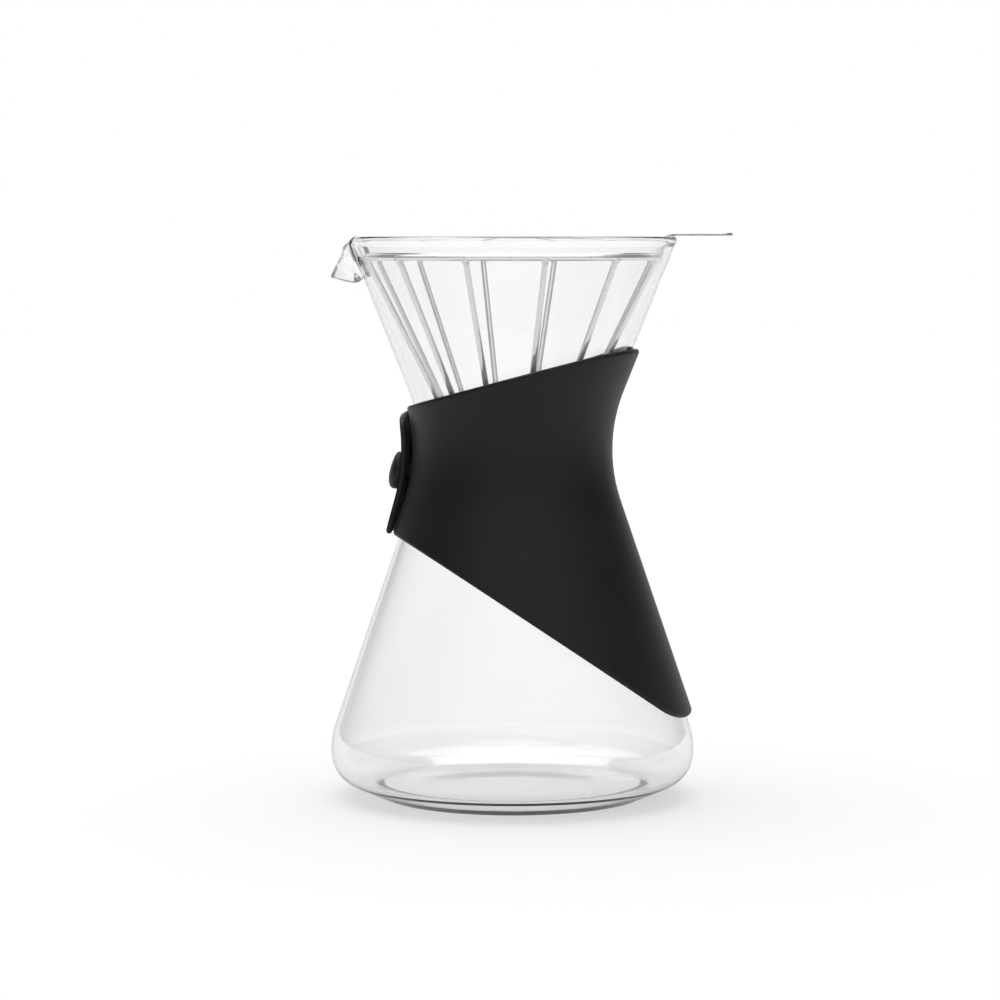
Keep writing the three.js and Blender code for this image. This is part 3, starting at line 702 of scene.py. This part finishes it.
def wire_cone_tree():
    """Node tree of the wire cone: two rings, and ribs that swell into their welds."""
    tree = bpy.data.node_groups.new("wire_cone", "GeometryNodeTree")
    tree.interface.new_socket("Wirework", in_out="OUTPUT", socket_type="NodeSocketGeometry")
    sizes = ("Top radius", "Top height", "Ring wire", "Bottom radius", "Bottom height",
             "Rib wire", "First rib", "Weld reach", "Weld swell")
    for name in sizes:
        tree.interface.new_socket(name, in_out="INPUT", socket_type="NodeSocketFloat")
    tree.interface.new_socket("Rib count", in_out="INPUT", socket_type="NodeSocketInt")
    for name in ("Ring steel", "Rib steel"):
        tree.interface.new_socket(name, in_out="INPUT", socket_type="NodeSocketMaterial")
    given = tree.nodes.new("NodeGroupInput").outputs

    node = partial(add_node, tree)
    math_node = partial(add_math, tree)

    def wire_section(diameter, sides):
        radius = math_node("MULTIPLY", diameter, 0.5)
        circle = node("GeometryNodeCurvePrimitiveCircle", Resolution=sides, Radius=radius)
        return circle.outputs["Curve"]

    def ring(radius, height, steps):
        circle = node("GeometryNodeCurvePrimitiveCircle", Resolution=steps, Radius=radius)
        lifted = node("ShaderNodeCombineXYZ", Z=height)
        placed = node("GeometryNodeTransform", Geometry=circle.outputs["Curve"],
                      Translation=lifted.outputs["Vector"])
        wire = node("GeometryNodeCurveToMesh", Curve=placed.outputs["Geometry"],
                    Profile_Curve=wire_section(given["Ring wire"], RING_SIDES))
        return wire.outputs["Mesh"]

    def rib():
        foot = node("ShaderNodeCombineXYZ", X=given["Bottom radius"], Z=given["Bottom height"])
        head = node("ShaderNodeCombineXYZ", X=given["Top radius"], Z=given["Top height"])
        line = node("GeometryNodeCurvePrimitiveLine", Start=foot.outputs["Vector"],
                    End=head.outputs["Vector"])
        fine = node("GeometryNodeResampleCurve", Curve=line.outputs["Curve"], Count=RIB_ROWS)
        along = node("GeometryNodeSplineParameter").outputs["Length"]
        length = node("GeometryNodeSplineLength").outputs["Length"]
        to_end = math_node("MINIMUM", along, math_node("SUBTRACT", length, along))
        past_ring = math_node("SUBTRACT", to_end, math_node("MULTIPLY", given["Ring wire"], 0.5))
        near = math_node("SUBTRACT", 1.0, math_node("DIVIDE", past_ring, given["Weld reach"]))
        near = math_node("MINIMUM", math_node("MAXIMUM", near, 0.0), 1.0)
        flare = math_node("POWER", near, WELD_FLARE)
        swell = math_node("ADD", math_node("MULTIPLY", flare, given["Weld swell"]), 1.0)
        wire = node("GeometryNodeCurveToMesh", Curve=fine.outputs["Curve"], Scale=swell,
                    Profile_Curve=wire_section(given["Rib wire"], RIB_SIDES), Fill_Caps=True)
        return wire.outputs["Mesh"]

    def ribs():
        spots = node("GeometryNodePoints", Count=given["Rib count"])
        step = math_node("DIVIDE", 2 * math.pi, given["Rib count"])
        index = node("GeometryNodeInputIndex").outputs["Index"]
        angle = math_node("ADD", math_node("MULTIPLY", index, step), given["First rib"])
        euler = node("ShaderNodeCombineXYZ", Z=angle)
        turn = node("FunctionNodeEulerToRotation", Euler=euler.outputs["Vector"])
        copies = node("GeometryNodeInstanceOnPoints", Points=spots.outputs["Points"],
                      Instance=rib(), Rotation=turn.outputs["Rotation"])
        return copies.outputs["Instances"]

    joined = tree.nodes.new("GeometryNodeJoinGeometry")
    top_ring = ring(given["Top radius"], given["Top height"], TOP_RING_STEPS)
    bottom_ring = ring(given["Bottom radius"], given["Bottom height"], BOTTOM_RING_STEPS)
    wires = ((top_ring, "Ring steel"), (bottom_ring, "Ring steel"), (ribs(), "Rib steel"))
    for part, steel in wires:
        real = node("GeometryNodeRealizeInstances", Geometry=part)
        smooth = node("GeometryNodeSetShadeSmooth", Geometry=real.outputs["Geometry"])
        clad = node("GeometryNodeSetMaterial", Geometry=smooth.outputs["Geometry"],
                    Material=given[steel])
        tree.links.new(clad.outputs["Geometry"], joined.inputs["Geometry"])
    outlet = tree.nodes.new("NodeGroupOutput")
    tree.links.new(joined.outputs["Geometry"], outlet.inputs["Wirework"])
    return tree


def wire_cone(ring_steel, rib_steel):
    """The wire cone, with its rings where the frame has them."""
    top_radius, top_height, ring_wire = ring_sizes("holder_top_ring")
    bottom_radius, bottom_height, _ = ring_sizes("holder_bottom_ring")
    tree = wire_cone_tree()
    values = {
        "Top radius": top_radius,
        "Top height": top_height,
        "Ring wire": ring_wire,
        "Bottom radius": bottom_radius,
        "Bottom height": bottom_height,
        "Rib wire": RIB_WIRE * MM,
        "First rib": RIB_TURN - math.pi / 2,
        "Weld reach": WELD_REACH * MM,
        "Weld swell": WELD_SWELL,
        "Rib count": RIB_COUNT,
        "Ring steel": ring_steel,
        "Rib steel": rib_steel,
    }
    piece = bpy.data.objects.new("wire_cone", bpy.data.meshes.new("wire_cone_seed"))
    bpy.context.scene.collection.objects.link(piece)
    maker = piece.modifiers.new("wire_cone", "NODES")
    maker.node_group = tree
    for socket in tree.interface.items_tree:
        if socket.in_out == "INPUT":
            maker[socket.identifier] = values[socket.name]
    shaped = piece.evaluated_get(bpy.context.evaluated_depsgraph_get())
    mesh = bpy.data.meshes.new_from_object(shaped)
    piece.modifiers.remove(maker)
    piece.data = mesh
    return piece


def pressed_handle(material):
    """Bent strip: up from the ring inside the rim, over the bead and straight out."""
    ring_radius, ring_height, _ = (size / MM for size in ring_sizes("holder_top_ring"))
    half = HANDLE_SHEET / 2
    level = CARAFE_HEIGHT + FIT_GAP + half
    end = RIM_RADIUS + HANDLE_OVERHANG
    rim_inside = rim_centre.x - RIM_BEAD / 2 - FIT_GAP - half
    strip = rounded_profile([
        (flat(ring_radius, ring_height), 0),
        (flat(ring_radius + HANDLE_LEAN, lerp(ring_height, level, 0.5)), HANDLE_BEND),
        (flat(rim_inside, level), HANDLE_BEND),
        (flat(end - HANDLE_CORNER, level), 0),
    ])
    for k in range(1, STRIP_END_ROWS + 1):
        short = 1 - math.sin(math.pi / 2 * k / STRIP_END_ROWS)
        strip.append(flat(end - HANDLE_CORNER * short, level))

    quarter = [math.pi / 2 * k / STRIP_EDGE_STEPS for k in range(STRIP_EDGE_STEPS + 1)]
    loops = []
    for i, place in enumerate(strip):
        run = (strip[min(i + 1, len(strip) - 1)] - strip[max(i - 1, 0)]).normalized()
        up = flat(-run.y, run.x)
        to_end = end - place.x
        short = max(0.0, HANDLE_CORNER - to_end)
        half_width = HANDLE_WIDTH / 2 - HANDLE_CORNER + math.sqrt(HANDLE_CORNER ** 2 - short ** 2)
        edge = min(HANDLE_EDGE, to_end + HANDLE_TIP_EDGE)
        thin = half - HANDLE_EDGE + math.sqrt(HANDLE_EDGE ** 2 - (HANDLE_EDGE - edge) ** 2)
        corner = flat(half_width - HANDLE_EDGE, thin - HANDLE_EDGE)
        right = [corner + turned(flat(HANDLE_EDGE, 0), turn) for turn in quarter]
        shares = [k / STRIP_COLUMNS for k in range(1, STRIP_COLUMNS)]
        flats = [flat(lerp(corner.x, -corner.x, share), thin) for share in shares]
        left = [flat(-p.x, p.y) for p in reversed(right)]
        upper = right + flats + left
        lower = [-p for p in upper]
        loops.append([Vector((place.x + up.x * p.y, p.x, place.y + up.y * p.y)) for p in upper + lower])
    return skin("pressed_handle", loops, material, sharp=SHARP_EDGE)


# Silicone sleeve

sleeve_middle = rounded_profile(offset_corners(body_corners, FIT_GAP + SLEEVE_THICKNESS / 2))
sleeve_outside = rounded_profile(offset_corners(body_corners, FIT_GAP + SLEEVE_THICKNESS))


def soft_min(a, b, round_):
    """The smaller of two heights, rounded over where they cross."""
    blend = min(1.0, max(0.0, 0.5 + (b - a) / (2 * round_)))
    return lerp(b, a, blend) - round_ * blend * (1 - blend)


def sleeve_top(x, y):
    slant = WAIST_HEIGHT + SLEEVE_TOP_RISE + SLEEVE_TOP_SLOPE * x - SLEEVE_TOP_TILT * y
    return soft_min(slant, WAIST_HEIGHT + SLEEVE_TOP_CREST, SLEEVE_CREST_ROUND)


def sleeve_bottom(x, y):
    middle = WAIST_HEIGHT - SLEEVE_BOTTOM_DROP
    slant = middle - SLEEVE_BOTTOM_SLOPE * x + SLEEVE_BOTTOM_ARCH * abs(y)
    return -soft_min(-slant, SLEEVE_BOTTOM_TIP - WAIST_HEIGHT, SLEEVE_TIP_ROUND)


def sleeve_middle_at(azimuth, height):
    return around(azimuth, radius_at(sleeve_middle, height), height)


def cut_height(azimuth, cut_at):
    """Where a slanting cut meets the sleeve's middle surface at an azimuth."""
    height = WAIST_HEIGHT
    for _ in range(CUT_ROUNDS):
        place = sleeve_middle_at(azimuth, height)
        height = lerp(height, cut_at(place.x, place.y), 0.5)
    return height


def rounded_steps(edge, count):
    """Distances from the end of a sheet that follow the round of its edge."""
    return [edge * (1 - math.cos(math.pi / 2 * k / count)) for k in range(count)]


def edge_distances(length, thickness):
    """Distances along a column of sheet, close together where its two edges are rounded."""
    edge = thickness / 2
    near = rounded_steps(edge, SHEET_EDGE_ROWS)
    inner = [lerp(edge, length - edge, k / SHEET_ROWS) for k in range(SHEET_ROWS + 1)]
    return near + inner + [length - d for d in reversed(near)]


def rounded_half(distance, thickness):
    """Half thickness that falls away in a round towards an edge at a distance."""
    half = thickness / 2
    short = min(1.0, max(0.0, 1 - distance / half))
    return half * math.sqrt(max(0.0, 1 - short * short))


def corner_loss(distance, round_):
    """Height lost to a rounded corner at a distance from the end of the sheet."""
    return 0.0 if distance >= round_ else round_ - math.sqrt(round_ ** 2 - (round_ - distance) ** 2)


def sheet_loop(rows):
    """Closed section of a sheet from rows of a middle point, its normal and its half thickness."""
    outer = [middle + normal * half for middle, normal, half in rows]
    inner = [middle - normal * half for middle, normal, half in rows]
    return outer + inner[::-1]


def sleeve_loop(azimuth, end_distance):
    """Upright section of the band, at a distance from the end of its tongue."""
    loss = corner_loss(end_distance, TONGUE_ROUND)
    top = cut_height(azimuth, sleeve_top) - loss
    bottom = cut_height(azimuth, sleeve_bottom) + loss
    end_half = rounded_half(end_distance, SLEEVE_THICKNESS)
    rows = []
    for distance in edge_distances(top - bottom, SLEEVE_THICKNESS):
        height = bottom + distance
        above = sleeve_middle_at(azimuth, height + SLOPE_STEP)
        slope = above - sleeve_middle_at(azimuth, height - SLOPE_STEP)
        normal = Vector((-math.cos(azimuth), -math.sin(azimuth), 0)).cross(slope).normalized()
        edge = min(distance, top - height)
        rows.append((sleeve_middle_at(azimuth, height), normal,
                     min(rounded_half(edge, SLEEVE_THICKNESS), end_half)))
    return sheet_loop(rows)


def silicone_wrap(material):
    """The band round the waist, from the end of its tongue to the root of the flap."""
    waist = radius_at(sleeve_middle, WAIST_HEIGHT)
    turn = 2 * math.pi + FLAP_ROOT_ANGLE - TONGUE_ANGLE
    edge = SLEEVE_THICKNESS / 2
    near = rounded_steps(edge, SHEET_END_COLUMNS)
    shares = [(k / TONGUE_COLUMNS) ** TONGUE_CROWDING for k in range(TONGUE_COLUMNS)]
    tongue = [lerp(edge, TONGUE_ROUND, share) for share in shares]
    band = [lerp(TONGUE_ROUND, turn * waist, k / WRAP_COLUMNS) for k in range(WRAP_COLUMNS + 1)]
    loops = [sleeve_loop(TONGUE_ANGLE + along / waist, along) for along in near + tongue + band]
    return skin("silicone_wrap", loops, material, sharp=SHARP_EDGE)


# Closing flap

def flap_middle(height):
    """Radius of the flap's middle where it lies over the tongue."""
    share = (height - (WAIST_HEIGHT - FLAP_END_BOTTOM)) / (FLAP_END_TOP + FLAP_END_BOTTOM)
    bulge = FLAP_BULGE * 4 * share * (1 - share)
    standoff = lerp(FLAP_STANDOFF_BOTTOM, FLAP_STANDOFF_TOP, share) + bulge
    return radius_at(sleeve_outside, height) + standoff + FLAP_THICKNESS / 2


def flap_plan(height):
    """Plan of the flap at one height: off the hinge, up over the tongue, then straight to its end."""
    start, end = radius_at(sleeve_middle, height), flap_middle(height)
    ramp = []
    for i, share in enumerate(FLAP_RAMP):
        azimuth = lerp(HINGE_ANGLE, TONGUE_ANGLE + FLAP_LANDING, i / (len(FLAP_RAMP) - 1))
        ramp.append(around(azimuth, lerp(start, end, share), height))
    return ramp + [Vector((-end, -FLAP_END * k / 2, height)) for k in range(3)]


def flap_length():
    plan = flap_plan(WAIST_HEIGHT)
    places = [through_points(plan, k / FLAP_SAMPLES) for k in range(FLAP_SAMPLES + 1)]
    return sum((b - a).length for a, b in zip(places, places[1:]))


def flap_loop(share, length):
    """Upright section of the flap, at a share of its length from the hinge."""
    to_end = (1 - share) * length
    loss = corner_loss(to_end, FLAP_CORNER)
    hinge_top = cut_height(HINGE_ANGLE, sleeve_top)
    hinge_bottom = cut_height(HINGE_ANGLE, sleeve_bottom)
    rise = smoothstep(share, 0, FLAP_NARROWED)
    top = lerp(hinge_top, WAIST_HEIGHT + FLAP_END_TOP, share) - loss
    bottom = lerp(hinge_bottom, WAIST_HEIGHT - FLAP_END_BOTTOM, rise) + loss
    thickness = lerp(SLEEVE_THICKNESS, FLAP_THICKNESS, smoothstep(share, 0, FLAP_THICKENED))
    rows = []
    for distance in edge_distances(top - bottom, thickness):
        height = bottom + distance
        plan = flap_plan(height)
        before = through_points(plan, max(0.0, share - SHARE_STEP))
        after = through_points(plan, min(1.0, share + SHARE_STEP))
        above = through_points(flap_plan(height + SLOPE_STEP), share)
        slope = above - through_points(flap_plan(height - SLOPE_STEP), share)
        normal = slope.cross(after - before).normalized()
        half = rounded_half(min(distance, top - height, to_end), thickness)
        rows.append((through_points(plan, share), normal, half))
    return sheet_loop(rows)


def silicone_flap(material):
    """The strap from its root on the band, across the hinge and over the tongue to its free end."""
    length = flap_length()
    loops = []
    for k in range(FLAP_ROOT_COLUMNS):
        azimuth = lerp(FLAP_ROOT_ANGLE, HINGE_ANGLE, k / FLAP_ROOT_COLUMNS)
        loops.append(sleeve_loop(azimuth, TONGUE_ROUND))
    near_end = 1 - FLAP_CORNER / length
    shares = [near_end * k / FLAP_COLUMNS for k in range(FLAP_COLUMNS + 1)]
    for k in range(1, FLAP_END_COLUMNS + 1):
        shares.append(lerp(near_end, 1, math.sin(math.pi / 2 * k / FLAP_END_COLUMNS)))
    loops += [flap_loop(share, length) for share in shares]
    return skin("silicone_flap", loops, material, sharp=SHARP_EDGE)


# Button

button_height = WAIST_HEIGHT - BUTTON_DROP
button_centre = Vector((-flap_middle(button_height), 0, button_height))
button_slope = (flap_middle(button_height + 1) - flap_middle(button_height - 1)) / 2
button_axis = Vector((-1, 0, -button_slope)).normalized()


def button_place():
    """Turns shapes made round +Y on to the button's axis, outwards along +Y."""
    tall = (Vector((0, 0, 1)) - button_axis * button_axis.z).normalized()
    across = button_axis.cross(tall)
    turn = Matrix((across, button_axis, tall)).transposed().to_4x4()
    return Matrix.Translation(button_centre) @ turn


def lower_quarter(radius, level, round_):
    """Quarter round under a turned edge that stands at a radius, its foot at a level."""
    centre = flat(radius - round_, level + round_)
    turns = [math.pi / 2 * k / BUTTON_ROUND_ROWS for k in range(BUTTON_ROUND_ROWS + 1)]
    return [centre + turned(flat(0, -round_), turn) for turn in turns]


def moulded_button(material):
    """Domed head that hugs the flap, with a neck through it and a peg into the tongue."""
    seat = FLAP_THICKNESS / 2 + BUTTON_SEAT_GAP
    standoff = flap_middle(button_height) - radius_at(sleeve_outside, button_height)
    peg_tip = -(standoff + PEG_DEPTH)
    crown = BUTTON_HEAD - BUTTON_EDGE
    outline = [flat(0, peg_tip)]
    outline += lower_quarter(PEG_RADIUS, peg_tip, PEG_TIP_ROUND)
    outline.append(flat(PEG_RADIUS, peg_tip + PEG_DEPTH))
    outline.append(flat(NECK_RADIUS, peg_tip + PEG_DEPTH + PEG_SHOULDER))
    outline.append(flat(NECK_RADIUS, seat))
    outline += lower_quarter(BUTTON_RADIUS, seat, BUTTON_BRIM)
    for k in range(DOME_ROWS + 1):
        angle = math.pi / 2 * k / DOME_ROWS
        level = seat + BUTTON_EDGE + crown * math.sin(angle)
        outline.append(flat(BUTTON_RADIUS * math.cos(angle), level))
    place = button_place()
    loops = []
    for k in range(BUTTON_COLUMNS):
        turn = 2 * math.pi * k / BUTTON_COLUMNS
        loop = []
        for p in outline:
            across, tall = p.x * math.sin(turn), p.x * math.cos(turn)
            above = max(0.0, p.y - seat) / BUTTON_HEAD
            saddle = tall ** 2 / (2 * WAIST_ROUND) if p.y >= seat else 0
            loop.append(place @ Vector((across, p.y + saddle - above * BUTTON_LEAN * tall, tall)))
        loops.append(loop)
    return skin("moulded_button", loops, material, wrap=True, sharp=BUTTON_SHARP_EDGE)


def cut_peg_hole(wrap):
    """Cuts the oval hole of the button's peg through the tongue."""
    place = button_place()
    depth = 3 * SLEEVE_THICKNESS
    half_tall = PEG_RADIUS + PEG_CLEARANCE
    loops = []
    for y in (-depth, depth):
        loop = []
        for k in range(HOLE_STEPS):
            angle = 2 * math.pi * k / HOLE_STEPS
            wide = (half_tall + PEG_SLOT) * math.cos(angle)
            loop.append(place @ Vector((wide, y, half_tall * math.sin(angle))))
        loops.append(loop)
    punch = skin("peg_punch", loops, wrap.data.materials[0])
    cutter = wrap.modifiers.new("peg_hole", "BOOLEAN")
    cutter.object = punch
    cutter.operation = "DIFFERENCE"
    shaped = wrap.evaluated_get(bpy.context.evaluated_depsgraph_get())
    mesh = bpy.data.meshes.new_from_object(shaped)
    wrap.modifiers.remove(cutter)
    wrap.data = mesh
    bpy.data.objects.remove(punch)
    mesh.set_sharp_from_angle(angle=SHARP_EDGE)


# Stage

def studio_world():
    """White all round for the eye. What metal and glass mirror is a white backdrop, a bright
    ceiling, a grey front with a gap for the camera, and dark sides. Light that has come through
    glass finds the same room paler."""
    world = bpy.data.worlds.new("studio")
    bpy.context.scene.world = world
    world.use_nodes = True
    tree = world.node_tree
    math_node = partial(add_math, tree)
    path = add_node(tree, "ShaderNodeLightPath").outputs
    direction = add_node(tree, "ShaderNodeTexCoord").outputs["Generated"]
    towards = add_node(tree, "ShaderNodeSeparateXYZ", Vector=direction).outputs

    def soft_range(value, low, high):
        made = add_node(tree, "ShaderNodeMapRange", Value=value, From_Min=low, From_Max=high)
        made.interpolation_type = "SMOOTHSTEP"
        return made.outputs["Result"]

    def panel(azimuth, half_width, soft_edge):
        """How far a direction points at a panel, its azimuth measured from the front."""
        along_x = math_node("MULTIPLY", towards["X"], math.sin(azimuth))
        aim = math_node("MULTIPLY_ADD", towards["Y"], -math.cos(azimuth), along_x)
        return soft_range(aim, math.cos(half_width + soft_edge), math.cos(half_width))

    backdrop = panel(math.pi, BACKDROP_HALF, BACKDROP_SOFT)
    walls = math_node("MULTIPLY_ADD", backdrop, 1 - DIM_SIDES, DIM_SIDES)
    gap = panel(0, CAMERA_GAP_HALF, CAMERA_GAP_SOFT)
    beside_gap = math_node("MULTIPLY_ADD", gap, -CAMERA_GAP_DIMMING, 1.0)
    front = math_node("MULTIPLY", panel(FRONT_TURN, FRONT_HALF, FRONT_SOFT), beside_gap)
    walls = math_node("MULTIPLY_ADD", front, FRONT_GLOW, walls)
    ceiling = soft_range(towards["Z"], CEILING_START, CEILING_FULL)
    under_ceiling = math_node("MULTIPLY", walls, math_node("SUBTRACT", 1.0, ceiling))
    room = math_node("MULTIPLY_ADD", ceiling, CEILING_GLOW, under_ceiling)
    room_behind = math_node("MULTIPLY_ADD", room, 1 - LEAST_BEHIND_GLASS, LEAST_BEHIND_GLASS)
    room_through = math_node("MULTIPLY_ADD", room, 1 - LEAST_THROUGH_GLASS, LEAST_THROUGH_GLASS)

    # Rays that come by way of metal or glass, parted into those that were mirrored with no glass
    # in the way, those that were mirrored behind glass, and those that only went through glass
    guided = math_node("MAXIMUM", path["Is Glossy Ray"], path["Is Transmission Ray"])
    mirrored = math_node("MULTIPLY", guided, math_node("MINIMUM", path["Glossy Depth"], 1.0))
    no_glass = math_node("LESS_THAN", path["Transmission Depth"], 0.5)
    in_open = math_node("MULTIPLY", mirrored, no_glass)
    behind_glass = math_node("SUBTRACT", mirrored, in_open)
    through_glass = math_node("SUBTRACT", guided, mirrored)
    eye = path["Is Camera Ray"]
    others = math_node("SUBTRACT", 1.0, math_node("MAXIMUM", guided, eye))
    level = math_node("MULTIPLY", others, AMBIENT)
    seen = ((in_open, room), (behind_glass, room_behind), (through_glass, room_through), (eye, 1.0))
    for ray, brightness in seen:
        level = math_node("MULTIPLY_ADD", ray, brightness, level)
    background = tree.nodes["Background"]
    set_socket(tree, background.inputs["Strength"], level)
    set_socket(tree, background.inputs["Color"], (1, 1, 1, 1))


def overhead_lamp():
    """One wide soft light overhead, a little behind, so the shadow falls softly forward."""
    lamp = bpy.data.lights.new("overhead", "SUN")
    lamp.energy = LAMP_STRENGTH
    lamp.angle = LAMP_SPREAD
    holder = bpy.data.objects.new("overhead", lamp)
    holder.rotation_euler = LAMP_TURN
    bpy.context.scene.collection.objects.link(holder)


def studio_floor():
    """Pale floor that glows for the eye and as much through glass, but less in what is mirrored."""
    material = bpy.data.materials.new("pale_floor")
    material.use_nodes = True
    tree = material.node_tree
    tree.nodes.remove(tree.nodes["Principled BSDF"])
    path = add_node(tree, "ShaderNodeLightPath").outputs
    glow_for = (("Is Transmission Ray", FLOOR_GLOW - FLOOR_GLOW_MIRRORED),
                ("Is Glossy Ray", FLOOR_GLOW_MIRRORED), ("Is Camera Ray", FLOOR_GLOW))
    level = 0.0
    for ray, strength in glow_for:
        level = add_math(tree, "MULTIPLY_ADD", path[ray], strength, level)
    paint = add_node(tree, "ShaderNodeBsdfDiffuse", Color=(FLOOR_PAINT, FLOOR_PAINT, FLOOR_PAINT, 1))
    glow = add_node(tree, "ShaderNodeEmission", Strength=level)
    both = tree.nodes.new("ShaderNodeAddShader")
    tree.links.new(paint.outputs["BSDF"], both.inputs[0])
    tree.links.new(glow.outputs["Emission"], both.inputs[1])
    tree.links.new(both.outputs["Shader"], tree.nodes["Material Output"].inputs["Surface"])

    disc = bmesh.new()
    bmesh.ops.create_circle(disc, cap_ends=True, segments=FLOOR_STEPS, radius=FLOOR_RADIUS * MM)
    mesh = bpy.data.meshes.new("studio_floor")
    disc.to_mesh(mesh)
    disc.free()
    mesh.transform(Matrix.Translation((0, 0, -FLOOR_DROP * MM)))
    floor = new_piece("studio_floor", mesh, material)


# Assembly

bpy.context.scene.view_settings.view_transform = "Standard"
place_camera()

glass = clear_glass("clear_glass", tint=(1, 1, 1))
# Darker glass for the lip's mouth: painted shade standing in for the dark line along the glass edge
shaded_mouth_glass = clear_glass("shaded_mouth_glass", tint=(0.4, 0.4, 0.37))
ring_steel = bright_steel("polished_steel", roughness=0.05, stretch=(1, 1, 1),
                          dark=(0.7, 0.7, 0.71), light=(0.78, 0.78, 0.79))
rib_steel = bright_steel("drawn_steel", roughness=0.09, stretch=(1, 1, 0.2),
                         dark=(0.8, 0.8, 0.81), light=(0.88, 0.88, 0.89), metallic=0.5)
sheet_steel = bright_steel("pressed_steel", roughness=0.16, stretch=(1, 0.1, 1),
                           dark=(0.6, 0.6, 0.61), light=(0.7, 0.7, 0.71))
sleeve_black = silicone("black_silicone", dark=(0.0045, 0.0045, 0.0048),
                        light=(0.0057, 0.0057, 0.006), roughness=0.47)
button_black = silicone("button_silicone", dark=(0.0035, 0.0035, 0.0038),
                        light=(0.0045, 0.0045, 0.0048), roughness=0.42)

carafe = blown_carafe(glass)
# Painted shade on the bead along the lip's mouth
shade_mouth_bead(carafe, shaded_mouth_glass)
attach(carafe, "carafe")
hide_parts("glass_carafe")

cone = wire_cone(ring_steel, rib_steel)
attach(cone, "filter_holder")
rib_nodes = [f"holder_rib_{k:02d}" for k in range(1, RIB_COUNT + 1)]
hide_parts("holder_top_ring", "holder_bottom_ring", *rib_nodes)

handle = pressed_handle(sheet_steel)
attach(handle, "filter_holder")
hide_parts("holder_handle")

wrap = silicone_wrap(sleeve_black)
cut_peg_hole(wrap)
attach(wrap, "carafe")
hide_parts("sleeve_wrap")

flap = silicone_flap(sleeve_black)
hinge_place = sleeve_middle_at(HINGE_ANGLE, WAIST_HEIGHT)
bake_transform(flap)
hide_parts("sleeve_flap")

button = moulded_button(button_black)
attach(button, "closing_flap")
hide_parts("closure_button")

studio_world()
overhead_lamp()
studio_floor()
